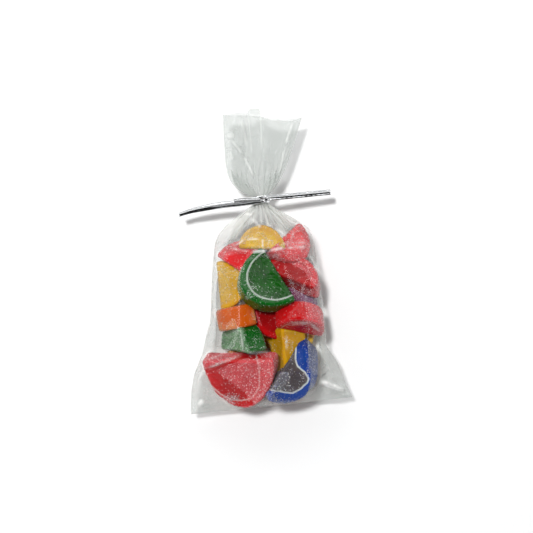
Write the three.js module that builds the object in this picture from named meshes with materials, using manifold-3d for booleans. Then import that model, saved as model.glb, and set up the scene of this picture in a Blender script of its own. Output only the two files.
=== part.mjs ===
// A clear film bag of sugared fruit slices, gathered at the neck and closed with a foil
// twist tie, lying on its back. Millimetres, +Z up, the tied end towards +Y.
// The filled bag is one solid: a taut sheet of film that is let down over the slices and
// then dips between them. The tie is a second solid around the neck.
import * as THREE from 'three';
import * as BufferGeometryUtils from 'three/addons/utils/BufferGeometryUtils.js';
import Module from 'manifold-3d';

// The empty bag, laid flat
const BAG_WIDTH = 89;
const FILM_TO_NECK = 129;        // film from the bottom seal up to the tie
const SEAL_Y = -1.2;             // the bottom seal, at its middle
const SEAL_Z = 13;               // and its height above the table
const SEAL_THICK = 1.1;
const SEAL_SLOPE = 0.036;        // the seal isn't quite square to the bag

// The tied neck and the loose mouth above it
const NECK = { x: 1.7, y: 109.6, z: 18, radius: 4.3, length: 4.8 };
const PLEATS = 22;
const PLEAT_DEPTH = 0.32;
const MOUTH_THICK = 2.6;

// Where the two side folds stand out: height up the bag, then x of the left and right fold
const FOLDS = [
  [0, -44.5, 44.5], [10, -43.5, 41], [20, -41, 38], [30, -36, 32.2], [40, -33, 32.5],
  [50, -29.5, 32.5], [60, -27.5, 31.5], [80, -26.5, 29.8], [90, -24.8, 28.8], [95, -22.5, 27],
  [100, -17.5, 20.5], [105, -10, 9.5],
];

// The mesh of the film
const COLUMNS = 88;              // around the bag, from the left fold over the front
const BODY_ROWS = 50;
const MOUTH_ROWS = 12;
const SKIN_GAP = 0.7;            // film to slice
const STEPS = 420;
const SHORTEST = { around: 0.88, along: 0.93, slant: 0.86 };   // how far the film may bunch up
const EVEN_OUT = { early: 0.16, late: 0.05, last: 0.35 };      // towards the mean of its neighbours
const DIP = 10;                  // how far the skin goes in between slices in front
const BACK_DIP = 4;              // and on the table side

// The twist tie
const TIE = { y: 112, inner: 4.98, width: 3.8, core: 0.9, edge: 0.42 };

// ---------------------------------------------------------------------- the slices inside
// Each is a thick half disc: `at` is its middle, `apex` points from its cut edge to its
// rind, `face` is square to its flat side. A hook bends one end, a twist turns the ends.
class Slice {
  constructor(at, apex, face, radius, depth, thick = 12, hook = 0, twist = 0) {
    this.at = new THREE.Vector3(...at);
    this.v = new THREE.Vector3(...apex).normalize();
    this.w = new THREE.Vector3(...face);
    this.w.addScaledVector(this.v, -this.w.dot(this.v)).normalize();
    this.u = new THREE.Vector3().crossVectors(this.v, this.w);
    Object.assign(this, { radius, depth, thick, hook, twist });
    this.reach = radius + 6;
  }
  distance(x, y, z) {
    const dx = x - this.at.x, dy = y - this.at.y, dz = z - this.at.z;
    const { radius, depth, thick, hook, twist } = this;
    const u = dx * this.u.x + dy * this.u.y + dz * this.u.z;
    let v = dx * this.v.x + dy * this.v.y + dz * this.v.z;
    let w = dx * this.w.x + dy * this.w.y + dz * this.w.z;
    const turn = (twist * u) / radius;
    [v, w] = [v * Math.cos(turn) + w * Math.sin(turn), w * Math.cos(turn) - v * Math.sin(turn)];
    v += 0.42 * depth;
    if (hook) v += (Math.abs(hook) * Math.max(Math.sign(hook) * u, 0) ** 2) / radius;
    const round = 1.6;
    const a = (Math.hypot(u, (v * radius) / depth) - radius) * Math.min(1, depth / radius) + round;
    const b = -v + round;
    const c = Math.abs(w) - thick / 2 + round;
    return Math.hypot(Math.max(a, 0), Math.max(b, 0), Math.max(c, 0))
      + Math.min(Math.max(a, b, c), 0) - round;
  }
}

const slices = [
  // front, from the bottom seal up
  new Slice([-14.6, 17.6, 28], [0.04, -1, -0.35], [-0.28, -0.4, 1], 19.8, 28),
  new Slice([13.6, 15, 29], [0.62, -0.785, 0.1], [-0.2, 0.1, 1], 17.8, 18.5, 12, -0.4, -0.9),
  new Slice([11.5, 28.5, 21], [-0.45, 0, -0.89], [-0.89, 0, 0.45], 14.5, 17, 14),
  new Slice([-13.3, 37.5, 21], [0, 1, 0.05], [0.9, 0, -0.43], 17.5, 15.5),
  new Slice([-17.5, 49, 22], [-0.75, -0.1, 0.65], [-0.22, 1, 0.05], 13, 13.5),
  new Slice([2, 48, 18], [-0.85, -0.5, 0.1], [0.1, 0, 1], 16, 16, 11),
  new Slice([20, 46.5, 28], [0.45, 0.465, 0.75], [0.01, -0.81, 0.6], 14, 14.5),
  new Slice([15, 56.5, 16], [0.05, 0.2, 1], [-0.06, 1, -0.2], 14, 15, 11),
  new Slice([-0.2, 66.2, 29], [-0.978, -0.425, 0.36], [0.2, 0.39, 1], 17.5, 22.5, 11.5),
  new Slice([17.2, 70, 22.5], [0.5, 0.81, -0.475], [-0.1, 0.55, 0.83], 16.3, 15.5, 13.5),
  new Slice([16.4, 84.9, 19], [0.63, -0.776, 0], [0.38, 0.3, 0.87], 12.5, 16.5, 11),
  new Slice([0.8, 90.2, 22.5], [0.1, 1, -0.1], [0.1, 0, 1], 12.5, 13, 10),
  new Slice([-8.5, 80, 21], [0.6, 0.79, 0], [-0.3, -0.25, 1], 14, 16.5, 11),
  new Slice([-17.4, 67, 18], [1, 0.03, 0.15], [-0.1, 0, 1], 13.5, 15, 11),
  // back, on the table side
  new Slice([10, 31, 6.5], [0, -1, 0], [0, 0, 1], 16, 16, 11),
  new Slice([-15, 20, 7.5], [-1, 0.2, 0.1], [0.1, 0, 1], 18, 18, 11),
  new Slice([11, 66, 7], [0.3, 0.9, 0], [0, 0, 1], 16, 16, 11),
  new Slice([-9, 80, 7.5], [-0.7, 0.7, 0], [0, 0, 1], 13, 14, 10),
  new Slice([9, 11, 12], [0.2, -1, 0.2], [0, 0.2, 1], 15, 15, 11),
];

const smooth = (a, b, x) => {
  const t = Math.min(Math.max((x - a) / (b - a), 0), 1);
  return t * t * (3 - 2 * t);
};
const mix = (a, b, t) => a + (b - a) * t;

// ---------------------------------------------------------------------- the film
// Column k runs from the left fold (0) over the front to the right fold (half way) and
// back underneath. Row r runs from the bottom seal to the neck.
const HALF = COLUMNS / 2;
const across = (k) => (k <= HALF ? k / HALF : (COLUMNS - k) / HALF);
const side = (k) => Math.sin((2 * Math.PI * k) / COLUMNS);      // + front, - back
const node = (r, k) => 3 * (r * COLUMNS + ((k + COLUMNS) % COLUMNS));
const film = new Float64Array(3 * BODY_ROWS * COLUMNS);

function sealPoint(k) {
  const x = BAG_WIDTH * (across(k) - 0.5);
  const lens = Math.sign(side(k)) * (Math.abs(side(k)) > 1e-6 ? 0.5 : 0) * SEAL_THICK;
  return [x, SEAL_Y + SEAL_SLOPE * x, SEAL_Z + lens];
}
function neckPoint(k, radius = NECK.radius) {
  const angle = Math.PI * (1 - (2 * k) / COLUMNS);
  const pleated = radius + PLEAT_DEPTH * Math.cos(PLEATS * angle);
  return [NECK.x + pleated * Math.cos(angle), NECK.y, NECK.z + pleated * Math.sin(angle)];
}
function startPoint(r, k) {
  const t = r / (BODY_ROWS - 1);
  const seal = sealPoint(k), neck = neckPoint(k);
  const angle = Math.PI * (1 - (2 * k) / COLUMNS);
  const body = {
    x: mix(0, 2, t) + mix(43, 35, smooth(0, 0.4, t)) * Math.cos(angle),
    z: 21 + 25 * Math.sin(angle),
  };
  const low = smooth(0, 0.07, t), high = smooth(0.72, 1, t);
  return [
    mix(mix(seal[0], body.x, low), neck[0], high),
    seal[1] * (1 - low) + NECK.y * t,
    Math.max(mix(mix(seal[2], body.z, low), neck[2], high), 0),
  ];
}
for (let r = 0; r < BODY_ROWS; r += 1) {
  for (let k = 0; k < COLUMNS; k += 1) film.set(startPoint(r, k), node(r, k));
}

const hoop = (2 * BAG_WIDTH) / COLUMNS;
const along = FILM_TO_NECK / (BODY_ROWS - 1);
// The gathers take up film towards the neck, so there the sheet may be narrower
const gathered = (r) => mix(1, 0.17, smooth(0.7, 1, r / (BODY_ROWS - 1)));

// x of a side fold at a height up the bag, or 0 above the shoulders
function foldAt(y, which) {
  const i = FOLDS.findIndex((row) => row[0] > y);
  if (i < 0) return 0;
  if (i === 0) return FOLDS[0][which];
  const [below, above] = [FOLDS[i - 1], FOLDS[i]];
  return mix(below[which], above[which], (y - below[0]) / (above[0] - below[0]));
}

function pull(i, j, most, least, give) {
  const dx = film[j] - film[i], dy = film[j + 1] - film[i + 1], dz = film[j + 2] - film[i + 2];
  const length = Math.hypot(dx, dy, dz) || 1e-9;
  let change = 0;
  if (length > most) change = (length - most) * 0.5;
  else if (length < least) change = (length - least) * 0.5 * give;
  if (!change) return;
  const s = change / length;
  film[i] += dx * s; film[i + 1] += dy * s; film[i + 2] += dz * s;
  film[j] -= dx * s; film[j + 1] -= dy * s; film[j + 2] -= dz * s;
}
function nearest(x, y, z) {
  let best = Infinity, which = null;
  for (const slice of slices) {
    const a = slice.at;
    if (Math.abs(x - a.x) > slice.reach + 4 || Math.abs(y - a.y) > slice.reach + 4
      || Math.abs(z - a.z) > slice.reach + 4) continue;
    const d = slice.distance(x, y, z);
    if (d < best) { best = d; which = slice; }
  }
  return [best, which];
}
function clearSlices() {
  for (let r = 1; r < BODY_ROWS - 1; r += 1) {
    for (let k = 0; k < COLUMNS; k += 1) {
      const n = node(r, k);
      const [x, y, z] = film.subarray(n, n + 3);
      const [d, slice] = nearest(x, y, z);
      if (d >= SKIN_GAP) continue;
      const e = 0.2;
      let gx = slice.distance(x + e, y, z) - slice.distance(x - e, y, z);
      let gy = slice.distance(x, y + e, z) - slice.distance(x, y - e, z);
      let gz = slice.distance(x, y, z + e) - slice.distance(x, y, z - e);
      const g = Math.hypot(gx, gy, gz) || 1;
      const s = Math.min(SKIN_GAP - d, 1.5) / g;
      film[n] += gx * s; film[n + 1] += gy * s; film[n + 2] += gz * s;
    }
  }
}
function hold() {
  for (let k = 0; k < COLUMNS; k += 1) {
    film.set(sealPoint(k), node(0, k));
    film.set(neckPoint(k), node(BODY_ROWS - 1, k));
  }
  for (let r = 1; r < BODY_ROWS; r += 1) {
    for (let k = 0; k < COLUMNS; k += 1) {
      const n = node(r, k);
      // the underside settles on the table
      if (side(k) < -0.3 && film[n + 2] < 3) film[n + 2] -= 0.12;
      if (film[n + 2] < 0) film[n + 2] = 0;
    }
    // the side folds stay spread out
    for (const [k, which] of [[0, 1], [HALF, 2]]) {
      const n = node(r, k), edge = foldAt(film[n + 1], which);
      if (edge && (film[n] - edge) * edge < 0) film[n] = mix(film[n], edge, 0.6);
    }
    // front stays above back
    for (let k = 1; k < HALF; k += 1) {
      const f = node(r, k), b = node(r, COLUMNS - k);
      const gap = film[f + 2] - film[b + 2];
      if (gap < SEAL_THICK) {
        film[f + 2] += (SEAL_THICK - gap) / 2;
        film[b + 2] -= (SEAL_THICK - gap) / 2;
      }
    }
  }
}
function relax(strength) {
  const before = film.slice();
  for (let r = 1; r < BODY_ROWS - 1; r += 1) {
    for (let k = 0; k < COLUMNS; k += 1) {
      const n = node(r, k);
      const near = [node(r - 1, k), node(r + 1, k), node(r, k - 1), node(r, k + 1)];
      for (let c = 0; c < 3; c += 1) {
        const mean = near.reduce((sum, m) => sum + before[m + c], 0) / 4;
        film[n + c] = mix(before[n + c], mean, strength);
      }
    }
  }
}
function tighten() {
  for (let r = 0; r < BODY_ROWS; r += 1) {
    const narrow = gathered(r);
    for (let k = 0; k < COLUMNS; k += 1) {
      const n = node(r, k);
      pull(n, node(r, k + 1), hoop, hoop * narrow * SHORTEST.around, 0.5);
      if (r === BODY_ROWS - 1) continue;
      pull(n, node(r + 1, k), along, along * SHORTEST.along, 0.5);
      const slant = Math.hypot(hoop, along);
      const least = Math.hypot(hoop * (narrow + gathered(r + 1)) * 0.5, along) * SHORTEST.slant;
      pull(n, node(r + 1, k + 1), slant, least, 0.3);
      pull(node(r, k + 1), node(r + 1, k), slant, least, 0.3);
    }
  }
}
function settle(strength, times, tight) {
  for (let step = 0; step < times; step += 1) {
    relax(strength);
    for (let pass = 0; pass < tight; pass += 1) tighten();
    clearSlices();
    hold();
  }
}
settle(EVEN_OUT.early, 0.6 * STEPS, 2);
settle(EVEN_OUT.late, 0.4 * STEPS, 2);
settle(EVEN_OUT.last, 3, 0);

// Between the slices the skin goes in, square to itself, until it meets one, or by DIP.
// Out at the side folds and where no slice is near it stays as the film lies.
const corner = (r, k) => new THREE.Vector3().fromArray(film, node(r, k));
function dipOf(r, k) {
  const around = corner(r, k + 1).sub(corner(r, k - 1));
  const up = corner(r + 1, k).sub(corner(r - 1, k));
  const facing = around.cross(up).normalize();
  const p = corner(r, k);
  const far = nearest(p.x, p.y, p.z)[0];
  const near = 1 - smooth(5, 11, far), inward = smooth(0.15, 0.5, Math.abs(side(k)));
  const most = (side(k) > 0 ? DIP : BACK_DIP) * near * inward;
  let depth = 0;
  while (depth < most) {
    const q = p.clone().addScaledVector(facing, -depth);
    const gap = nearest(q.x, q.y, q.z)[0] - SKIN_GAP;
    if (gap < 0.05) break;
    depth += Math.max(gap * 0.7, 0.05);
  }
  return { facing, depth: Math.min(depth, most) };
}
const dips = Array.from({ length: BODY_ROWS - 2 }, (_, r) => (
  Array.from({ length: COLUMNS }, (__, k) => dipOf(r + 1, k))));
dips.forEach((row, r) => row.forEach(({ facing, depth }, k) => {
  // each goes in by the mean of itself and those beside it
  const next = row[(k + 1) % COLUMNS], last = row[(k + COLUMNS - 1) % COLUMNS];
  const beside = [next, last, dips[r - 1]?.[k], dips[r + 1]?.[k]];
  const mean = (2 * depth + beside.reduce((sum, other) => sum + (other ? other.depth : 0), 0)) / 6;
  const n = node(r + 1, k);
  film[n] -= facing.x * mean;
  film[n + 1] -= facing.y * mean;
  film[n + 2] -= facing.z * mean;
}));
settle(EVEN_OUT.last, 3, 0);

// The gathers that run down from the neck over the shoulders
const rows = [];
for (let r = 0; r < BODY_ROWS; r += 1) {
  const row = [];
  const fade = smooth(0.8, 0.97, r / (BODY_ROWS - 1));
  for (let k = 0; k < COLUMNS; k += 1) {
    const n = node(r, k);
    const p = new THREE.Vector3(film[n], film[n + 1], film[n + 2]);
    if (r > 0 && r < BODY_ROWS - 1 && fade > 0) {
      const angle = Math.PI * (1 - (2 * k) / COLUMNS);
      const out = new THREE.Vector3(Math.cos(angle), 0, Math.sin(angle));
      const far = Math.hypot(p.x - NECK.x, p.z - NECK.z);
      p.addScaledVector(out, fade * mix(0.9, PLEAT_DEPTH, smooth(0.93, 1, r / (BODY_ROWS - 1)))
        * Math.min(1, far / 12) * Math.cos(PLEATS * angle));
      p.z = Math.max(p.z, 0);
    }
    row.push(p);
  }
  rows.push(row);
}
// The tied length of the neck
for (const step of [0.5, 1]) {
  rows.push(Array.from({ length: COLUMNS }, (_, k) => {
    const p = neckPoint(k);
    return new THREE.Vector3(p[0], p[1] + NECK.length * step, p[2]);
  }));
}
// The loose mouth: it opens from the neck into a flat, folded fan. u runs across it.
const mouthEdges = (t) => [
  NECK.x - NECK.radius - 14.3 * (1 - Math.exp(-t / 0.117)) + 1.1 * t,
  NECK.x + NECK.radius + 5.4 * (1 - Math.exp(-t / 0.12)) + 16.5 * t,
];
const mouthTop = (u) => {
  const slope = mix(159.8, 155.2, smooth(0.4, 0.6, u));
  const tab = Math.exp(-(((u - 0.41) / 0.08) ** 2)) * 2.3;
  return slope + tab;
};
const mouthFold = (u) => 4.2 * Math.sin(2 * Math.PI * (1.15 * u + 0.08)) * smooth(0, 0.25, u)
  + 3.4 * Math.exp(-(((u - 0.45) / 0.085) ** 2)) - 3.2 * smooth(0.6, 1, u);
for (let r = 1; r <= MOUTH_ROWS; r += 1) {
  const t = r / MOUTH_ROWS;
  const [left, right] = mouthEdges(t);
  const open = smooth(0, 0.6, t);
  rows.push(Array.from({ length: COLUMNS }, (_, k) => {
    const angle = Math.PI * (1 - (2 * k) / COLUMNS);
    const ring = neckPoint(k);
    const u = mix(0.5 - 0.5 * Math.cos((2 * Math.PI * k) / COLUMNS), across(k), 0.55 * open);
    const x = mix(left, right, u);
    const y = mix(NECK.y + NECK.length, mouthTop(u), t);
    const thick = mix(2 * NECK.radius, MOUTH_THICK, open) * 0.5;
    const gathers = (0.45 * (1 - open) + 0.075) * (1 - 0.6 * t) * Math.sign(Math.sin(angle));
    const z = NECK.z + mouthFold(u) * open * (0.35 + 0.65 * t)
      + thick * Math.sin(angle)
      + gathers * Math.cos(PLEATS * angle) * Math.sin(Math.PI * across(k));
    return new THREE.Vector3(mix(ring[0], x, smooth(0, 0.2, t)), y, Math.max(z, 0));
  }));
}

function closedSkin(sections) {
  const position = [], index = [];
  for (const section of sections) for (const p of section) position.push(p.x, p.y, p.z);
  const at = (r, k) => r * COLUMNS + ((k + COLUMNS) % COLUMNS);
  for (let r = 0; r < sections.length - 1; r += 1) {
    for (let k = 0; k < COLUMNS; k += 1) {
      const a = at(r, k), b = at(r, k + 1), c = at(r + 1, k + 1), d = at(r + 1, k);
      if ((r + k) % 2) index.push(a, b, c, a, c, d); else index.push(a, b, d, b, c, d);
    }
  }
  // each end is closed by joining front to back straight across
  const cap = (r, flip) => {
    const tri = (a, b, c) => (flip ? index.push(a, c, b) : index.push(a, b, c));
    tri(at(r, 0), at(r, -1), at(r, 1));
    for (let k = 1; k < HALF - 1; k += 1) {
      tri(at(r, k), at(r, -k), at(r, k + 1));
      tri(at(r, -k), at(r, -k - 1), at(r, k + 1));
    }
    tri(at(r, HALF - 1), at(r, HALF + 1), at(r, HALF));
  };
  cap(0, false);
  cap(sections.length - 1, true);
  const geometry = new THREE.BufferGeometry();
  geometry.setAttribute('position', new THREE.Float32BufferAttribute(position, 3));
  geometry.setIndex(index);
  return geometry;
}

// ---------------------------------------------------------------------- the twist tie
// A strip: two foil wings on a wire, swept along a curve. `roll` turns its flat side.
const stripSection = (width) => {
  const h = width / 2, e = TIE.edge / 2, c = TIE.core / 2;
  return [[-h, -e], [-c, -e], [0, -c], [c, -e], [h, -e], [h, e], [c, e], [0, c], [-c, e], [-h, e]];
};
function strip(points, { roll = () => 0, width = () => TIE.width, stations = 40 }) {
  const curve = new THREE.CatmullRomCurve3(points.map((p) => new THREE.Vector3(...p)));
  const position = [], index = [];
  const count = stripSection(1).length;
  for (let i = 0; i <= stations; i += 1) {
    const t = i / stations;
    const p = curve.getPointAt(t), tangent = curve.getTangentAt(t);
    const up = new THREE.Vector3(0, 1, 0).addScaledVector(tangent, -tangent.y).normalize();
    const out = new THREE.Vector3().crossVectors(tangent, up);
    const a = roll(t), wide = up.clone().multiplyScalar(Math.cos(a)).addScaledVector(out, Math.sin(a));
    const thin = new THREE.Vector3().crossVectors(tangent, wide);
    for (const [s, h] of stripSection(width(t))) {
      const q = p.clone().addScaledVector(wide, s).addScaledVector(thin, h);
      position.push(q.x, q.y, q.z);
    }
  }
  for (let i = 0; i < stations; i += 1) {
    for (let j = 0; j < count; j += 1) {
      const a = i * count + j, b = i * count + ((j + 1) % count), c = b + count, d = a + count;
      index.push(a, b, c, a, c, d);
    }
  }
  const end = stations * count;
  for (let j = 1; j < count - 1; j += 1) {
    if (j === 4) continue;
    index.push(0, j + 1, j, end, end + j, end + j + 1);
  }
  index.push(0, 5, 4, end, end + 4, end + 5);
  const geometry = new THREE.BufferGeometry();
  geometry.setAttribute('position', new THREE.Float32BufferAttribute(position, 3));
  geometry.setIndex(index);
  return geometry;
}
const front = NECK.z + TIE.inner + 0.6;
const arms = [
  // the left arm: flat at the neck, then wound with the other end, then on its edge
  strip([
    [NECK.x + 0.5, 112, front], [-3, 112, front + 0.3], [-12, 111.8, front - 0.6],
    [-22, 110.8, front - 2.5], [-33, 109.5, front - 4.5], [-43.5, 107.6, front - 6.5],
  ], {
    roll: (t) => Math.PI * 2 * smooth(0.04, 0.32, t) + 1.15 * smooth(0.3, 0.95, t),
    width: (t) => mix(TIE.width, 2.6, smooth(0.7, 1, t)),
    stations: 32,
  }),
  // the stub wound round it
  strip([
    [NECK.x, 112.3, front + 0.5], [-3.5, 112.4, front + 0.8], [-8, 112.1, front + 0.1],
    [-13.5, 112.2, front - 0.8],
  ], {
    roll: (t) => 0.2 + Math.PI * 2.3 * smooth(0.15, 0.95, t),
    stations: 22,
  }),
  // the right arm: it bends up from the neck and runs out nearly flat
  strip([
    [NECK.x - 1.5, 112, front], [4.2, 112.6, front + 0.2], [8.6, 112.8, front - 1.2],
    [20, 113.5, front - 3], [31, 114, front - 4.5], [39.8, 114.2, front - 6],
  ], {
    roll: (t) => -0.5 * smooth(0.02, 0.12, t) * (1 - smooth(0.12, 0.3, t)) + 0.25 * smooth(0.3, 1, t),
    stations: 18,
  }),
];
const bandProfile = [
  [TIE.inner, -TIE.width / 2], [TIE.inner + TIE.edge + 0.1, -TIE.width / 2],
  [TIE.inner + TIE.core, 0], [TIE.inner + TIE.edge + 0.1, TIE.width / 2], [TIE.inner, TIE.width / 2],
  [TIE.inner, -TIE.width / 2],
].map(([r, h]) => new THREE.Vector2(r, h));
const band = new THREE.LatheGeometry(bandProfile, 32);
band.translate(NECK.x, TIE.y, NECK.z);

const wasm = await Module();
wasm.setup();
function solid(geometry) {
  const bare = geometry.clone();
  bare.deleteAttribute('normal');
  bare.deleteAttribute('uv');
  const merged = BufferGeometryUtils.mergeVertices(bare, 1e-4);
  return new wasm.Manifold(new wasm.Mesh({
    numProp: 3,
    vertProperties: new Float32Array(merged.attributes.position.array),
    triVerts: new Uint32Array(merged.index.array),
  }));
}
function fused(list) {
  const joined = list.map(solid).reduce((sum, next) => sum.add(next));
  // the outer skin alone, with any pocket between the windings filled
  const mesh = joined.decompose().reduce((a, b) => (b.volume() > a.volume() ? b : a)).getMesh();
  const geometry = new THREE.BufferGeometry();
  geometry.setAttribute('position', new THREE.Float32BufferAttribute(mesh.vertProperties, 3));
  geometry.setIndex(Array.from(mesh.triVerts));
  return geometry;
}

const bag = closedSkin(rows);
const tie = fused([band, ...arms]);

// The origin is under the middle of the whole, on the table
const box = new THREE.Box3();
for (const geometry of [bag, tie]) {
  geometry.computeBoundingBox();
  box.union(geometry.boundingBox);
}
const group = new THREE.Group();
for (const [name, geometry, look] of [
  ['filled_bag', bag, { color: 0xc96a4a, roughness: 0.3, metalness: 0 }],
  ['twist_tie', tie, { color: 0xc8cacc, roughness: 0.25, metalness: 1 }],
]) {
  geometry.translate(-(box.min.x + box.max.x) / 2, -(box.min.y + box.max.y) / 2, -box.min.z);
  geometry.computeVertexNormals();
  const mesh = new THREE.Mesh(geometry, new THREE.MeshStandardMaterial(look));
  mesh.name = name;
  group.add(mesh);
}
export default group;
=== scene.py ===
"""A clear film bag of sugared fruit slices, tied with a foil twist tie, lying on its back.

Shapes are worked out in bag millimetres: x across, y from the bottom seal to the mouth, z up
from the table. Each slice is a thick half disc with a rounded edge. The film is a sheet of
fixed size, let down over the slices until it lies on them, and its creases come from that.
"""
import math

import bpy
import numpy as np
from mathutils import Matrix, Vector


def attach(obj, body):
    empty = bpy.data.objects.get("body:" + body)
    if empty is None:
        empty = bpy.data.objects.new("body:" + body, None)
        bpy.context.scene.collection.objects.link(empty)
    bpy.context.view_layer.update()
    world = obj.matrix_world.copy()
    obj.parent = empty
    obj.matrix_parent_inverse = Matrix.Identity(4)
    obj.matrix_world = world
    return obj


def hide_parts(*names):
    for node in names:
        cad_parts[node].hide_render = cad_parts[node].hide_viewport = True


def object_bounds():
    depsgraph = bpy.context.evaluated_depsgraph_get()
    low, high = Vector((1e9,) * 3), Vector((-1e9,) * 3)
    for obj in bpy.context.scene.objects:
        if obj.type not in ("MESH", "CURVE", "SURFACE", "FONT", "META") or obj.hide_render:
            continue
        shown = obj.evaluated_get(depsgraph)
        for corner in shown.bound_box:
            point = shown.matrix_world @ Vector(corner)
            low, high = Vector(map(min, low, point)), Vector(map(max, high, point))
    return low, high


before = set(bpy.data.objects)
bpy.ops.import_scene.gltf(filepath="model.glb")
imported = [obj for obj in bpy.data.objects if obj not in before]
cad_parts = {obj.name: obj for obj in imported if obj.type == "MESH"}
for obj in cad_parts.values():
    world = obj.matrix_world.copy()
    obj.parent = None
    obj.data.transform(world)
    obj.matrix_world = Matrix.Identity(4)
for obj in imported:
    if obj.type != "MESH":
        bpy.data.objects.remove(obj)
cad_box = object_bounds()
WIDTH, TO_NECK = 89.0, 129.0      # the flat bag's width, and its film from the seal to the tie
SEAL_Y, SEAL_Z, SLOPE = -1.2, 13.0, 0.036
MIDDLE_Y = SEAL_Y - SLOPE * WIDTH / 2 - 1000 * cad_box[0][1]   # bag y of the object's origin
random = np.random.default_rng(11)


def mix(a, b, t):
    return a + (b - a) * t


def smooth(a, b, x):
    """0 below a, 1 above b, an S curve between."""
    t = np.clip((x - a) / (b - a), 0, 1)
    return t * t * (3 - 2 * t)


def cubic(a0, a1, a2, a3, f):
    """A smooth curve from a1, where f is 0, to a2, where it is 1."""
    bend = 2 * a0 - 5 * a1 + 4 * a2 - a3 + f * (3 * (a1 - a2) + a3 - a0)
    return a1 + 0.5 * f * (a2 - a0 + f * bend)


# ------------------------------------------------------------------------------ shader maths
class Signal:
    """One output socket. Arithmetic on it adds Math nodes to the same material."""

    def __init__(self, paint, socket):
        self.paint, self.socket = paint, socket

    def _maths(self, operation, *values):
        return self.paint.node("Math", {"operation": operation}, dict(enumerate(values)))

    def __add__(self, other):
        return self._maths("ADD", self, other)

    def __sub__(self, other):
        return self._maths("SUBTRACT", self, other)

    def __rsub__(self, other):
        return self._maths("SUBTRACT", other, self)

    def __mul__(self, other):
        return self._maths("MULTIPLY", self, other)

    def __pow__(self, other):
        return self._maths("POWER", self, other)

    __radd__, __rmul__ = __add__, __mul__

    def between(self, low, high, start=0.0, end=1.0):
        """start below low, end above high, an S curve between."""
        return self.paint.node("MapRange", {"interpolation_type": "SMOOTHSTEP"}, {
            "Value": self, "From Min": low, "From Max": high, "To Min": start, "To Max": end})


class Paint:
    """A material, or a world, made of nodes."""

    def __init__(self, name, kind="materials"):
        self.material = getattr(bpy.data, kind).new(name)
        self.material.use_nodes = True
        self.material.node_tree.nodes.clear()

    def node(self, kind, settings=None, sockets=None, output=0):
        """Adds a node: its settings first, then a value or a link for each socket."""
        node = self.material.node_tree.nodes.new("ShaderNode" + kind)
        for key, value in (settings or {}).items():
            setattr(node, key, value)
        for key, value in (sockets or {}).items():
            if isinstance(value, Signal):
                self.material.node_tree.links.new(value.socket, node.inputs[key])
            else:
                node.inputs[key].default_value = value
        return Signal(self, node.outputs[output]) if node.outputs else None

    def colour(self, factor, a, b):
        """Colour a where factor is 0, b where it is 1."""
        return self.node("Mix", {"data_type": "RGBA"}, {0: factor, 6: a, 7: b}, 2)

    def field(self, name):
        return self.node("Attribute", {"attribute_name": name}, output=2)

    def place(self, **mapping):
        """The object's own coordinates, turned or stretched."""
        here = self.node("TexCoord", output=3)
        return self.node("Mapping", {}, {"Vector": here, **mapping}) if mapping else here

    def noise(self, scale, detail, where=None):
        return self.node("TexNoise", {}, {
            "Vector": where or self.place(), "Scale": scale, "Detail": detail})

    def finish(self, shader, output="OutputMaterial"):
        self.node(output, {}, {"Surface": shader})
        return self.material


def srgb(r, g, b):
    """A colour as seen on a screen, 0 to 255, in linear light."""
    c = np.array([r, g, b]) / 255
    return (*np.where(c < 0.04045, c / 12.92, ((c + 0.055) / 1.055) ** 2.4).tolist(), 1.0)


# ------------------------------------------------------------------------------ mesh making
def grid_faces(rows, columns, first=0, closed=True):
    """Quads of a grid of points, joined round if closed, facing out where columns run clockwise."""
    i = np.arange(rows * columns).reshape(rows, columns) + first
    j = np.roll(i, -1, 1) if closed else i[:, 1:]
    i = i if closed else i[:, :-1]
    return np.stack([i[:-1], j[:-1], j[1:], i[1:]], -1).reshape(-1, 4)


def piece(name, points, faces, material, slot, stands_for, **fields):
    """A smooth mesh object from bag millimetres, with a named value at each point."""
    mesh = bpy.data.meshes.new(name)
    mesh.vertices.add(len(points))
    mesh.vertices.foreach_set("co", ((points - [0, MIDDLE_Y, 0]) / 1000).astype(np.float32).ravel())
    sizes = np.concatenate([np.full(len(f), f.shape[1]) for f in faces])
    corners = np.concatenate([f.ravel() for f in faces])
    mesh.loops.add(len(corners))
    mesh.loops.foreach_set("vertex_index", corners.astype(np.int32))
    mesh.polygons.add(len(sizes))
    mesh.polygons.foreach_set("loop_start", (np.cumsum(sizes) - sizes).astype(np.int32))
    mesh.polygons.foreach_set("loop_total", sizes.astype(np.int32))
    mesh.update(calc_edges=True)
    mesh.shade_smooth()
    for key, value in fields.items():
        value = np.asarray(value, np.float32)
        layer = mesh.attributes.new(key, "FLOAT" if value.ndim == 1 else "FLOAT_COLOR", "POINT")
        layer.data.foreach_set("value" if value.ndim == 1 else "color", value.ravel())
    mesh.materials.append(material)
    thing = bpy.data.objects.new(name, mesh)
    bpy.context.scene.collection.objects.link(thing)
    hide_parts(stands_for)
    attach(thing, "root")
    return thing


# ------------------------------------------------------------------------------ the slices
def slice_of(fruit, at, apex, face, radius, depth, thick=12.0,
             hook=0.0, twist=0.0, sugar=0.5, glow=0.5, pith=0.0):
    """A thick half disc: `at` is its middle, apex points to its rind, face is square to its
    flat side. hook bends one end, twist turns the two ends against each other. sugar is how
    thickly it is coated, glow how light its jelly is, and pith how white its pith."""
    v = np.array(apex, float)
    v /= np.linalg.norm(v)
    w = np.array(face, float)
    w -= v * (w @ v)
    w /= np.linalg.norm(w)
    return dict(fruit=fruit, at=np.array(at, float), axes=np.stack([np.cross(v, w), v, w], 1),
                radius=radius, depth=depth, thick=thick, hook=hook, twist=twist,
                sugar=sugar, glow=glow, pith=pith)


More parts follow.
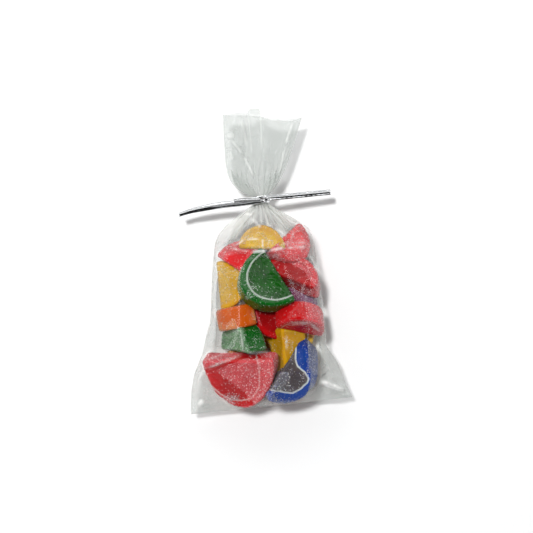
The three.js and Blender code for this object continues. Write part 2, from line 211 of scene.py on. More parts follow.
SLICES = [
    # the shown side, from the bottom seal up
    slice_of("cherry", (-14.6, 17.6, 28), (0.04, -1, -0.35), (-0.28, -0.4, 1), 19.8, 28,
             sugar=0.7, glow=0.3, pith=0.7),
    slice_of("berry", (13.6, 15, 29), (0.62, -0.785, 0.1), (-0.2, 0.1, 1), 17.8, 18.5,
             hook=-0.4, twist=-0.9, sugar=0.3, glow=0.5, pith=1.2),
    slice_of("lemon", (11.5, 28.5, 21), (-0.45, 0, -0.89), (-0.89, 0, 0.45), 14.5, 17, 14,
             sugar=0.3, glow=0.5),
    slice_of("lime", (-13.3, 37.5, 21), (0, 1, 0.05), (0.9, 0, -0.43), 17.5, 15.5, sugar=0.8, glow=0.7),
    slice_of("orange", (-17.5, 49, 22), (-0.75, -0.1, 0.65), (-0.22, 1, 0.05), 13, 13.5, sugar=0.35),
    # painted shade: this slice's jelly is set dark, as it lies deep among the others
    slice_of("cherry", (2, 48, 18), (-0.85, -0.5, 0.1), (0.1, 0, 1), 16, 16, 11, sugar=0.1, glow=0.1),
    slice_of("cherry", (20, 46.5, 28), (0.45, 0.465, 0.75), (0.01, -0.81, 0.6), 14, 14.5,
             sugar=0.6, glow=0.4, pith=0.5),
    slice_of("grape", (15, 56.5, 16), (0.05, 0.2, 1), (-0.06, 1, -0.2), 14, 15, 11, sugar=0.6),
    slice_of("lime", (-0.2, 66.2, 29), (-0.978, -0.425, 0.36), (0.2, 0.39, 1), 17.5, 22.5, 11.5,
             sugar=0.25, glow=0.15, pith=1.0),
    slice_of("cherry", (17.2, 70, 22.5), (0.5, 0.81, -0.475), (-0.1, 0.55, 0.83), 16.3, 15.5, 13.5,
             sugar=0.5, glow=0.1, pith=0.1),
    slice_of("cherry", (16.4, 84.9, 19), (0.63, -0.776, 0), (0.38, 0.3, 0.87), 12.5, 16.5, 11,
             sugar=0.7, glow=1.0),
    slice_of("lemon", (0.8, 90.2, 22.5), (0.1, 1, -0.1), (0.1, 0, 1), 12.5, 13, 10,
             sugar=0.4, glow=0.9),
    slice_of("cherry", (-8.5, 80, 21), (0.6, 0.79, 0), (-0.3, -0.25, 1), 14, 16.5, 11,
             sugar=0.6, glow=0.9),
    slice_of("lemon", (-17.4, 67, 18), (1, 0.03, 0.15), (-0.1, 0, 1), 13.5, 15, 11,
             sugar=0.4, glow=0.5),
    # the table side
    slice_of("lemon", (10, 31, 6.5), (0, -1, 0), (0, 0, 1), 16, 16, 11, pith=0.8),
    slice_of("orange", (-15, 20, 7.5), (-1, 0.2, 0.1), (0.1, 0, 1), 18, 18, 11, pith=0.8),
    slice_of("lime", (11, 66, 7), (0.3, 0.9, 0), (0, 0, 1), 16, 16, 11, pith=0.8),
    slice_of("berry", (-9, 80, 7.5), (-0.7, 0.7, 0), (0, 0, 1), 13, 14, 10, pith=0.8),
    slice_of("cherry", (9, 11, 12), (0.2, -1, 0.2), (0, 0.2, 1), 15, 15, 11, pith=0.8),
]
EDGE = 1.6                        # the rounding of a slice's edges


def bend_of(s, u):
    return np.maximum(np.sign(s["hook"]) * u, 0) ** 2 * abs(s["hook"]) / s["radius"]


def into(s, points):
    """Bag coordinates to a slice's own: along its cut edge, towards its rind, off its face."""
    u, v, w = np.moveaxis((points - s["at"]) @ s["axes"], -1, 0)
    turn = s["twist"] * u / s["radius"]
    v, w = v * np.cos(turn) + w * np.sin(turn), w * np.cos(turn) - v * np.sin(turn)
    return u, v + 0.42 * s["depth"] + bend_of(s, u), w


def out_of(s, u, v, w):
    """The way back from a slice's own coordinates."""
    v = v - bend_of(s, u) - 0.42 * s["depth"]
    turn = s["twist"] * u / s["radius"]
    v, w = v * np.cos(turn) - w * np.sin(turn), w * np.cos(turn) + v * np.sin(turn)
    return s["at"] + np.stack([u, v, w], -1) @ s["axes"].T


def under_rind(s, u, v):
    """Distance in from the rind's curved outside."""
    return (s["radius"] - np.hypot(u, v * s["radius"] / s["depth"])) * min(1, s["depth"] / s["radius"])


def gap_to(s, points):
    """Distance to a slice's surface, negative inside: three faces cut each other, and the
    edges between them are rounded."""
    u, v, w = into(s, points)
    a, b, c = EDGE - under_rind(s, u, v), EDGE - v, np.abs(w) - s["thick"] / 2 + EDGE
    out = np.sqrt(np.maximum(a, 0) ** 2 + np.maximum(b, 0) ** 2 + np.maximum(c, 0) ** 2)
    return out + np.minimum(np.maximum(np.maximum(a, b), c), 0) - EDGE


def slope_of(s, points, step=0.2):
    """The direction in which the distance to a slice grows."""
    g = np.stack([gap_to(s, points + d) - gap_to(s, points - d) for d in np.eye(3) * step], -1)
    return g / (np.linalg.norm(g, axis=-1, keepdims=True) + 1e-9)


def half_disc_edge(s, arc=84, corner=7, chord=34):
    """Once round the outline: the curved rind, a corner, the straight cut, a corner. Each
    point is given with the direction that faces out there."""
    r, d = s["radius"] - EDGE, s["depth"] - EDGE
    tip = math.asin(EDGE / d)
    t = np.linspace(tip, math.pi - tip, arc)
    rind = np.stack([r * np.cos(t), d * np.sin(t)], -1)
    rind_out = np.stack([np.cos(t) / r, np.sin(t) / d], -1)
    rind_out /= np.linalg.norm(rind_out, axis=1, keepdims=True)
    def turned(start, end):
        a = np.linspace(start, end, corner + 2)[1:-1]
        return np.stack([np.cos(a), np.sin(a)], -1)
    first = math.atan2(rind_out[0, 1], rind_out[0, 0])
    x = np.linspace(rind[-1, 0], rind[0, 0], chord)
    cut = np.stack([x, np.full(chord, rind[0, 1])], -1)
    down = np.tile([0.0, -1.0], (chord, 1))
    points = np.concatenate([rind, np.tile(rind[-1], (corner, 1)), cut, np.tile(rind[0], (corner, 1))])
    facing = np.concatenate([
        rind_out, turned(math.pi - first, 1.5 * math.pi), down, turned(-math.pi / 2, first)])
    return points, facing


def slice_skin(s, seed):
    """Rings from the middle of one face out to its edge, over the rounding, down the side
    and in again on the other face. The faces dish a little and the whole is lumpy."""
    line, facing = half_disc_edge(s)
    middle = np.array([0, 0.45 * s["depth"]])
    half = s["thick"] / 2 - EDGE
    rings = []
    inner = np.linspace(0.03, 1, 17)[:-1] ** 0.8
    turn = np.linspace(math.pi / 2, 0, 6)
    for f in inner:
        rings.append((middle + (line - middle) * f, half + EDGE))
    for a in turn:
        rings.append((line + facing * EDGE * math.cos(a), half + EDGE * math.sin(a)))
    sides = [(line + facing * EDGE, h) for h in np.linspace(half, -half, 9)[1:-1]]
    rings = rings + sides + [(p, -h) for p, h in rings[::-1]]
    u = np.stack([p[:, 0] for p, _ in rings])
    v = np.stack([p[:, 1] for p, _ in rings])
    w = np.stack([np.full(len(line), h) for _, h in rings])
    rng = np.random.default_rng(seed)
    wave = np.zeros_like(u)
    for _ in range(7):
        k = rng.normal(0, 0.26, 3)
        wave += np.sin(u * k[0] + v * k[1] + w * k[2] + rng.uniform(0, 7)) * rng.uniform(0.05, 0.14)
    from_edge = np.minimum(under_rind(s, u, v), v)
    flat = smooth(0.6, 1.0, np.abs(w) / (s["thick"] / 2)) * smooth(0, 6, from_edge)
    w = w * (1 - 0.07 * flat) + wave * 0.9
    v = v * (1 + 0.012 * wave) + 0.5 * wave
    u = u * (1 + 0.02 * wave)
    points = out_of(s, u, v, w).reshape(-1, 3)
    # coarse sugar under the skin of the jelly leaves it pimpled
    rows, columns = u.shape
    ring = points.reshape(rows, columns, 3)
    spread = np.linalg.norm(np.roll(ring, 1, 1) - ring, axis=2).ravel()
    pimples = rng.normal(0, 0.12, len(points)) * mix(0.6, 1.4, s["sugar"]) * np.clip(spread / 0.5, 0, 1)
    points += slope_of(s, points) * pimples[:, None]
    faces = grid_faces(rows, columns)[:, ::-1]
    ends = np.stack([points[:columns].mean(0), points[-columns:].mean(0)])
    i = np.arange(columns)
    n = len(points)
    last = i + (rows - 1) * columns
    caps = np.stack([i, np.roll(i, -1), np.full(columns, n)], -1), np.stack(
        [np.roll(last, -1), last, np.full(columns, n + 1)], -1)
    points = np.concatenate([points, ends])
    skin = np.concatenate([under_rind(s, u, v).ravel(), [under_rind(s, 0, middle[1])] * 2])
    side = np.concatenate([(1 - smooth(0.0, 1.2, v)).ravel(), [0, 0]])
    return points, [faces, *caps], skin, side


def from_line(points, x1, y1, x2, y2):
    """Seen from above: how far along a line each point lies, 0 at its start and 1 at its
    end, and how far off it."""
    a, b = np.array([x1, y1], float), np.array([x2, y2], float)
    t = (points[..., :2] - a) @ (b - a) / ((b - a) @ (b - a))
    off = points[..., :2] - a - np.clip(t, 0, 1)[..., None] * (b - a)
    return t, np.linalg.norm(off, axis=-1)


# Two slices are bent so much that their pith is given as a line, seen from above: flesh lies to
# the left of the line.
PITH_IN = 3.15                    # how far under the rind that line lies on the other slices
PITH_LINES = {
    0: [(-36, 25), (-34, 19), (-31.5, 13), (-27, 8.5), (-22, 5.4), (-16, 4.4), (-11, 5.2), (-7.5, 8.5),
        (-5.6, 13), (-5, 20), (-6, 28)],
    1: [(-4, 11), (2, 9.3), (8, 7.6), (12, 6.9), (16, 9), (20, 12.4), (20.8, 14.5), (19, 18),
        (15.4, 21.3), (14.6, 25), (15.5, 32)],
}


def beside_line(points, line):
    """Distance from a line seen from above, more than 0 on its left."""
    line = np.array(line, float)
    near, signed = np.full(len(points), 1e9), np.zeros(len(points))
    for a, b in zip(line[:-1], line[1:]):
        _, far = from_line(points, *a, *b)
        (across, up), (x, y) = b - a, (points[:, :2] - a).T
        left = np.sign(across * y - up * x)
        signed = np.where(far < near, far * left, signed)
        near = np.minimum(near, far)
    return signed


def squeezed(index, points):
    """Two slices that press on each other share the squeeze: each gives half."""
    for j, other in enumerate(SLICES):
        if j == index or np.linalg.norm(other["at"] - SLICES[index]["at"]) > 45:
            continue
        depth = np.minimum(gap_to(other, points) - 0.15, 0)
        hit = depth < 0
        if hit.any():
            points[hit] -= slope_of(other, points[hit]) * (depth[hit] * 0.55)[:, None]
    return points


# Where film lies wet and close on a slice its colour is deep: strokes on the shown side,
# from one end to the other, with a half width and how wet. Less than 0 is more frost.
STROKES = [
    (-36, 21, -12, 29, 1.1, 1.0), (-29.5, 17, -17, 6, 3.6, 1.2), (-36, 17, -27, 6, 1.5, 0.9),
    (-20, 1.5, -11, 3, 1.2, 0.8), (-12, 29, 2, 28, 1.6, 0.6), (0, 20, 1, 27, 2.0, -0.5),
    (-36, 25, -20, 29, 2.2, -0.9), (17, 21, 17.5, 31, 3.0, 1.0), (24.5, 17, 23, 28, 1.6, -0.7),
    (18, 6, 24, 16, 3.0, 0.7), (4, 6, 14, 5, 1.6, 0.6), (17, 10, 12, 20, 3.0, 0.4),
    (4, 12, 10, 19, 3.0, -0.4), (-28, 11, -22, 24, 1.0, -0.4), (-8, 42, -5, 34, 4.6, 1.3),
    (-22, 35, -17, 41, 3.6, -0.4), (-13.5, 32, -13, 44, 0.8, -1.0), (9, 50, 18, 51, 4.5, 1.0),
    (14, 40, 22, 38, 4.0, 0.6), (28, 50, 29, 38, 2.5, -0.9), (-7, 54, -3, 44, 1.0, -0.9),
    (4, 48, 4, 40, 6.0, 1.0), (10, 74, 22, 66, 6.0, 1.0), (3.7, 81, 17.6, 76.5, 0.8, -1.6),
    (17.6, 76.5, 24, 72, 0.9, -1.8), (24, 72, 27.2, 64, 0.9, -1.8), (14, 64, 26, 59, 2.0, -0.8),
    (28, 72, 29, 62, 1.8, -0.8), (-17, 79, -11, 80, 3.0, 1.0), (-12, 88, -7, 86, 1.4, 1.0),
    # the frost from (8, 84) to (26, 84) is partly sugar and partly a painted sheen of the film's
    # creases there
    (-22, 85, -16, 88, 2.5, -0.8), (10, 89, 16, 91, 1.5, 0.8), (8, 84, 26, 84, 2.0, -0.9),
    (20, 92, 24, 93, 1.0, 0.8), (-5, 89, 0, 90, 1.8, 1.0), (3, 97, 8, 92, 2.2, 1.0),
    (8, 36, 8, 22, 3.0, 0.9), (16, 40, 20, 28, 3.0, 0.6), (10, 31, 10, 38, 0.6, -1.0),
    (-22, 50, -12, 56, 3.5, 0.8), (-13, 47, -9, 54, 3.0, 1.0), (-23, 60, -20, 78, 3.0, -0.6),
    (-6, 82, -12, 62, 2.5, 0.8), (-4, 78, 14, 62, 6.0, 0.9), (-6, 56, 10, 53, 3.0, 0.8),
]


def wetness(points, facing_up):
    """How closely the film lies on the shown side, from the strokes above."""
    wet = np.zeros(len(points))
    for x1, y1, x2, y2, wide, how in STROKES:
        _, off = from_line(points, x1, y1, x2, y2)
        wet += how * (1 - smooth(0.6 * wide, 1.5 * wide, off))
    return np.clip(wet, -1, 1) * smooth(-0.1, 0.35, facing_up)


# ------------------------------------------------------------------------------ the film
LOW, HIGH = np.array([-52, -8, -6]), np.array([52, 118, 50])


def heap_lattice():
    """Distance to the nearest slice, and its slope, at every millimetre of the bag's space."""
    axes = [np.arange(a, b + 1, 1.0) for a, b in zip(LOW, HIGH)]
    gap = np.full([len(a) for a in axes], 9.0)
    for s in SLICES:
        lo = np.maximum(np.floor(s["at"] - s["radius"] - 9 - LOW), 0).astype(int)
        hi = np.minimum(np.ceil(s["at"] + s["radius"] + 9 - LOW), HIGH - LOW).astype(int) + 1
        block = tuple(slice(a, b) for a, b in zip(lo, hi))
        grid = np.stack(np.meshgrid(*[a[b] for a, b in zip(axes, block)], indexing="ij"), -1)
        gap[block] = np.minimum(gap[block], gap_to(s, grid))
    return np.concatenate([gap[..., None], np.stack(np.gradient(gap), -1)], -1).astype(np.float32)


def read(lattice, points):
    """The lattice between its points, by the weights of the eight around each."""
    q = np.clip(points - LOW, 0, np.array(lattice.shape[:3]) - 1.001)
    i = q.astype(int)
    f = (q - i)[..., None]
    total = 0
    for corner in range(8):
        d = np.array([corner & 1, corner >> 1 & 1, corner >> 2 & 1])
        j = i + d
        share = np.prod(np.where(d[:, None] == 1, f, 1 - f), axis=-2)
        total = total + lattice[j[..., 0], j[..., 1], j[..., 2]] * share
    return total


# where the two side folds stand out, by height up the bag
FOLD_Y = (0, 10, 20, 30, 40, 50, 60, 80, 90, 95, 100, 105)
FOLD_LEFT = (-44.5, -43.5, -41, -36, -33, -29.5, -27.5, -26.5, -24.8, -22.5, -17.5, -10)
FOLD_RIGHT = (44.5, 41, 38, 32.2, 32.5, 32.5, 31.5, 29.8, 28.8, 27, 20.5, 9.5)
NECK = np.array([1.7, 109.6, 18.0])
NECK_R, NECK_LONG, PLEATS = 4.3, 4.8, 22
BAND_R = 4.95                     # the tie's band round the neck


def seal_line(k):
    """The straight bottom seal. k runs once round the bag from the left fold over the front."""
    x = WIDTH * (np.where(k <= 0.5, 2 * k, 2 - 2 * k) - 0.5)
    z = SEAL_Z + 0.25 * np.sign(np.sin(2 * np.pi * k).round(6))
    return np.stack([x, SEAL_Y + SLOPE * x, z], -1)


def neck_ring(k, deep):
    """A circle whose radius goes in and out with the gathers."""
    angle = np.pi * (1 - 2 * k)
    r = NECK_R - 0.15 - deep + deep * np.cos(PLEATS * angle + 0.7 * np.sin(3 * angle))
    x, z = NECK[0] + r * np.cos(angle), NECK[2] + r * np.sin(angle)
    return np.stack([x, np.full_like(k, NECK[1]), z], -1)


class Film:
    """A tube of film on a grid. Its threads can't stretch and hardly shorten, it can't enter
    a slice or the table, and it is held at the seal and at the neck."""

    def __init__(self, rows, columns, lattice, clear):
        self.lattice, self.gap, self.deep = lattice, clear, 0.1
        self.measure(rows, columns)
        t, k = self.t, self.k
        angle = np.pi * (1 - 2 * k)
        seal, ring = seal_line(k), neck_ring(k, 0.1)
        x = mix(0, 2, t) + mix(43, 35, smooth(0, 0.4, t)) * np.cos(angle)
        body = np.stack([x, 0 * t, 21 + 25 * np.sin(angle)], -1)
        low, high = smooth(0, 0.07, t)[..., None], smooth(0.72, 1, t)[..., None]
        self.p = mix(mix(seal, body, low), ring, high)
        self.p[..., 1] = seal[..., 1] * (1 - low[..., 0]) + NECK[1] * t
        self.p[..., 2] = np.maximum(self.p[..., 2], 0)

    def measure(self, rows, columns):
        self.rows, self.columns = rows, columns
        self.hoop, self.along = 2 * WIDTH / columns, TO_NECK / (rows - 1)
        self.t, self.k = np.meshgrid(
            np.linspace(0, 1, rows), np.arange(columns) / columns, indexing="ij")

    def finer(self, times):
        """Puts a cubic curve through the points both ways and takes more of them."""
        def spread(a, axis):
            n = a.shape[axis]
            x = np.linspace(0, n - 1, (n - 1) * times + 1)
            i = np.minimum(x.astype(int), n - 2)
            f = (x - i).reshape([-1 if d == axis else 1 for d in range(a.ndim)])
            a0, a1, a2, a3 = (np.take(a, np.clip(i + j, 0, n - 1), axis) for j in (-1, 0, 1, 2))
            return cubic(a0, a1, a2, a3, f)
        self.p = spread(spread(np.concatenate([self.p, self.p[:, :1]], 1), 0), 1)[:, :-1]
        self.measure(*self.p.shape[:2])

    def pull(self, a, b, most, least, give):
        """Brings pairs of points back within their longest and shortest distance."""
        d = self.p[b] - self.p[a]
        length = np.sqrt((d * d).sum(-1)) + 1e-9
        change = np.where(length > most, (length - most) * 0.5,
                          np.where(length < least, (length - least) * 0.5 * give, 0)) / length
        d *= change[..., None]
        self.p[a] += d
        self.p[b] -= d

    def tighten(self, least, give):
        slack = least < 0.95
        short = mix(1, 0.17, smooth(0.7, 1, self.t[:, :1])) if slack else 1
        slant = math.hypot(self.hoop, self.along)
        around = np.arange(self.columns)
        for start in (0, 1):
            a = np.arange(start, self.columns, 2)
            self.pull((slice(None), a), (slice(None), (a + 1) % self.columns),
                      self.hoop, self.hoop * least * short, give)
            r = np.arange(start, self.rows - 1, 2)
            self.pull((r,), (r + 1,), self.along, self.along * max(least, 0.93), give)
            for step in (1, -1):
                beside = (around[None] + step) % self.columns
                self.pull((r[:, None], around[None]), (r[:, None] + 1, beside),
                          slant, slant * (0.52 if slack else 0.9), give * 0.6)

    def relax(self, strength):
        p = self.p
        mean = (np.roll(p, 1, 1) + np.roll(p, -1, 1))[1:-1] + p[:-2] + p[2:]
        p[1:-1] += (mean / 4 - p[1:-1]) * strength

    def keep_out(self):
        p = self.p[1:-1]
        g = read(self.lattice, p)
        push = np.clip(self.gap - g[..., 0], 0, 1.5) / (np.linalg.norm(g[..., 1:], axis=-1) + 1e-6)
        p += g[..., 1:] * push[..., None]

    def hold(self, apart=0.5):
        k = self.k[0]
        self.p[0], self.p[-1] = seal_line(k), neck_ring(k, self.deep)
        inner = self.p[1:-1]
        z = inner[..., 2]
        z -= 0.12 * ((np.sin(2 * np.pi * k) < -0.3)[None] & (z < 3))
        np.maximum(z, 0, out=z)
        for column, fold in ((0, FOLD_LEFT), (self.columns // 2, FOLD_RIGHT)):
            x, edge = inner[:, column, 0], np.interp(inner[:, column, 1], FOLD_Y, fold)
            short = (x - edge) * edge < 0
            inner[:, column, 0] = np.where(short & (inner[:, column, 1] < 105), mix(x, edge, 0.6), x)
        front, back = inner[:, 1:self.columns // 2], inner[:, :self.columns // 2:-1]
        lack = np.clip(apart - (front[..., 2] - back[..., 2]), 0, None) / 2
        front[..., 2] += lack
        back[..., 2] -= lack


def over_table(points):
    """Distance, seen from above, from the outline of the heap; negative over it."""
    plan = np.broadcast_to(lattice[..., :1].min(2, keepdims=True), (*lattice.shape[:3], 1))
    return read(plan, points)[..., 0]


def settled_film():
    """Let down taut on a wide grid, then loose so that it wrinkles, then on a fine grid."""
    film = Film(52, 96, lattice, 0.5)
    for step in range(300):
        film.relax(0.16 if step < 180 else 0.05)
        film.tighten(0.88, 0.5)
        film.tighten(0.88, 0.5)
        film.keep_out()
        film.hold()
    for step in range(200):
        if step < 60 and step % 10 == 0:
            film.p[1:-1] += random.normal(0, 0.05, film.p[1:-1].shape)
        film.deep = 0.1 + 0.9 * min(step / 100, 1)
        film.relax(0.02)
        film.tighten(0.985, 0.6)
        film.keep_out()
        film.hold()
    film.finer(3)
    for step in range(60):
        film.relax(0.12 if step > 40 else 0.03)
        film.tighten(0.985, 0.6)
        film.keep_out()
        film.hold(0.4)
    # it lies smooth over the heap, and keeps its wrinkles beside it and over the shoulders
    still = (1 - smooth(-2, 1.5, over_table(film.p))) * (1 - 0.8 * smooth(84, 92, film.p[..., 1]))
    for step in range(44):
        before = film.p.copy()
        film.relax(0.6)
        film.p[:] = mix(before, film.p, still[..., None])
        if step < 30:                 # the last steps smooth away what keeping out leaves
            film.keep_out()
    return film.p


def mouth_line(k):
    """The edge of the open mouth, as x, z, y: over the front with a low fold in the
    middle that stands up as a tab, and back underneath. Corners are eased."""
    corners = np.array([
        (-15.9, 18.5, 160.0), (-9, 21.5, 160.1), (-4.5, 22.0, 159.8), (-1.6, 20.2, 159.7),
        (-1.3, 20.2, 162.0), (4.5, 20.6, 161.8), (5.2, 20.6, 158.6), (8.0, 22.0, 156.4),
        (10.6, 22.0, 155.6), (18, 20.4, 154.7), (24, 19.4, 155.0), (27.9, 18.6, 155.6),
        (22, 16.4, 154.4), (11, 17.6, 155.3), (5.5, 16.0, 157.8), (-4, 17.2, 159.3),
        (-10, 16.2, 159.7)])
    length = np.concatenate([[0], np.cumsum(np.linalg.norm(np.diff(corners[:, :2], axis=0), axis=1))])
    whole = length[-1] + np.linalg.norm(corners[-1, :2] - corners[0, :2])
    right = length[11]
    s = np.where(k <= 0.5, right * 2 * k, right + (whole - right) * (2 * k - 1))
    line = np.stack([np.interp(s, [*length, whole], [*c, c[0]]) for c in corners.T], -1)
    for _ in range(max(len(k) // 90, 1)):
        line = (np.roll(line, 1, 0) + 2 * line + np.roll(line, -1, 0)) / 4
    return line


def mouth_film(columns, rows=64):
    """Each thread leaves its place in the gathers, opens out fast and runs up to the mouth:
    it keeps a share of the way between the two side edges, which curve out and then run
    nearly straight."""
    k = np.arange(columns) / columns
    ring, line = neck_ring(k, 1.0), mouth_line(k)
    t = np.linspace(0, 1, rows)[:, None]
    left = NECK[0] - NECK_R - 14.3 * (1 - np.exp(-t / 0.117)) + 1.1 * t
    right = NECK[0] + NECK_R + 5.4 * (1 - np.exp(-t / 0.12)) + 16.5 * t
    at_neck = (ring[:, 0] - left[0]) / (right[0] - left[0])
    at_mouth = (line[:, 0] - left[-1]) / (right[-1] - left[-1])
    share = mix(at_neck, at_mouth, smooth(0, 0.45, t))
    x = left + (right - left) * share
    y = NECK[1] + NECK_LONG + (line[:, 2] - NECK[1] - NECK_LONG) * t
    z = ring[:, 2] + (line[:, 1] - ring[:, 2]) * smooth(-0.15, 0.7, t) ** 1.2
    # the gathers run on upwards and die out, each at its own length
    angle = np.pi * (1 - 2 * k)
    reach = 0.3 + 0.12 * np.sin(5 * angle) + 0.1 * np.sin(11 * angle + 2)
    fade = (1 - smooth(0.2, 1.0, t / reach)) * smooth(0, 0.06, t)
    gathers = np.cos(PLEATS * angle + 0.7 * np.sin(3 * angle))
    z = z + 0.5 * fade * gathers * np.sign(np.sin(angle) + 1e-9)
    # soft streaks that fan out from the neck
    z = z + smooth(0.1, 0.5, t) * (0.22 * np.sin(5 * angle + 2 * t) + 0.06 * np.sin(19 * angle - 2 * t))
    return np.stack([x, y, z], -1)


# Sharp creases pressed into the film on the shown side: from, to, height, half width
CREASES = [
    (-14, 87.5, -8, 91, 0.45, 0.9), (-8, 91, 0, 90.6, 0.4, 0.9), (-16, 87, -6, 84, 0.5, 0.9),
    (-6, 84, 4, 83.8, 0.6, 1.1), (4, 83.8, 13, 85, 0.7, 1.2), (13, 85, 26, 84.6, 0.5, 1.2),
    (10, 87, 27, 87.2, 0.4, 0.9), (1.5, 91, 1.2, 85, 0.5, 0.8), (21.5, 95, 28, 90, 0.5, 0.9),
    (16, 88, 19, 94, 0.45, 0.9), (8, 96.5, 15.5, 90, 0.45, 0.8), (-3.5, 102, 1.5, 96, 0.55, 0.9),
    (-10, 106, -3, 104, 0.4, 0.9), (28, 90, 25.5, 82, 0.45, 0.9), (25.5, 82, 29.5, 72, 0.4, 1.0),
    (3, 99, 8, 96.5, 0.4, 0.9), (-34, 23, -12, 30.3, 0.4, 1.0), (-12, 30.5, 2, 30.5, 0.3, 1.0),
    (-39, 27, -24, 30, 0.3, 1.0), (-40, 15, -34, 24, 0.4, 1.0), (47, 1.0, 26, 12.6, 1.1, 1.8),
    (-45, -2, -36.5, 6, 1.0, 2.2), (10, 30, 10.5, 39, 0.4, 0.8), (-13, 31, -13.5, 44, 0.4, 0.8),
    (13, 44.3, 23, 44, 0.4, 1.0), (23, 44, 29, 39, 0.35, 1.0), (-25, 82, -27, 50, 0.3, 1.2),
    (31, 70, 31.5, 46, 0.3, 1.0), (-12, 146, -6, 137, 0.25, 0.8), (-6, 137, -0.5, 124, 0.4, 0.9),
    (-16, 149, -10, 147.5, 0.3, 1.8), (-13, 140, -12, 134, 0.25, 0.9), (22.5, 154, 17, 140, 0.3, 0.9),
    (17, 140, 13, 124, 0.3, 0.9), (20, 141, 15, 130, 0.3, 0.9), (25.5, 153, 21, 142, 0.25, 1.0),
    (-1.7, 161, -1.2, 136, 0.15, 0.8), (5.0, 161, 4.4, 138, 0.2, 0.8), (-5.5, 158, -3.5, 140, 0.2, 1.2),
]


# Broad flat-sided folds at the corners and in the mouth: from, to, height, half width
FACETS = [
    (44, 2, 28, 12, 1.6, 5.5), (-44, -2, -36, 8, 1.6, 5.0), (-37, 9, -35, 26, 1.2, 3.5),
    (36, 26, 30, 40, 1.0, 3.0), (-12, 152, -2, 125, 1.0, 5.0), (23, 155, 14, 128, 1.2, 4.5),
]


def creased(p):
    """Lifts the film along each crease as a low roof, on its shown side only. Along the
    ridge it also gives a painted highlight: a mask that turns the film milky white there."""
    rows, columns = p.shape[:2]
    k = np.arange(columns) / columns
    shown = smooth(0.05, 0.3, np.sin(2 * np.pi * k))[None]
    lift, crease_highlight = np.zeros((2, rows, columns))
    for x1, y1, x2, y2, high, wide in CREASES:
        t, off = from_line(p, x1, y1, x2, y2)
        along = smooth(-0.02, 0.25, t) * smooth(-0.02, 0.25, 1 - t)
        lift += high * np.clip(1 - off / wide, 0, 1) ** 1.2 * along
        # painted highlight: a white line along each crease stands in for the shine of the fold
        white = np.clip(1.25 - off / min(wide, 1.9), 0, 1) ** 1.5
        crease_highlight = np.maximum(crease_highlight, min(1.1 * high, 1.2) * white * along)
    for x1, y1, x2, y2, high, wide in FACETS:
        t, off = from_line(p, x1, y1, x2, y2)
        lift += high * np.clip(1 - off / wide, 0, 1) * smooth(0, 0.3, 1 - np.clip(t, 0, 1) + 0.1)
    p[..., 2] += lift * shown
    return p, crease_highlight * shown


def bag_film():
    body = settled_film()
    columns = body.shape[1]
    k = np.arange(columns) / columns
    tied = np.stack([neck_ring(k, 1.0) + [0, NECK_LONG * f, 0] for f in (0.25, 0.5, 0.75)])
    p, crease_highlight = creased(np.concatenate([body, tied, mouth_film(columns)]))
    rows = len(p)
    i = np.arange(columns)
    half = columns // 2
    front, back = i[1:half], i[:half:-1]
    seam = np.stack([front[:-1], back[:-1], back[1:], front[1:]], -1)
    tips = np.array([[0, columns - 1, 1], [half - 1, half + 1, half]])
    faces = [grid_faces(rows, columns), seam, tips]
    # milky where no slice lies under it, a little over the shoulders, and most in the mouth's tab
    loose = np.maximum(smooth(0, 2.5, over_table(p)), 0.22 * smooth(82, 92, p[..., 1]))
    x, y = p[len(body):, :, 0], p[len(body):, :, 1]
    loose[len(body):] = 1 + 0.7 * smooth(158.6, 160.4, y) * (np.abs(x - 1.6) < 3.4)
    pale = np.exp(-((p[..., 1] - 106) / 13) ** 2)
    return p.reshape(-1, 3), faces, dict(loose=loose.ravel(), pale=pale.ravel(), crease_highlight=crease_highlight.ravel())


# ------------------------------------------------------------------------------ the tie
def curve_through(points, count):
    """A smooth curve through given points, at even steps."""
    p = np.array(points, float)
    p = np.concatenate([2 * p[:1] - p[1:2], p, 2 * p[-1:] - p[-2:-1]])
    x = np.linspace(0, len(points) - 1, count * 6)
    i = np.minimum(x.astype(int), len(points) - 2)
    f = (x - i)[:, None]
    a0, a1, a2, a3 = p[i], p[i + 1], p[i + 2], p[i + 3]
    q = cubic(a0, a1, a2, a3, f)
    length = np.concatenate([[0], np.cumsum(np.linalg.norm(np.diff(q, axis=0), axis=1))])
    even = np.linspace(0, length[-1], count)
    return np.stack([np.interp(even, length, c) for c in q.T], -1)


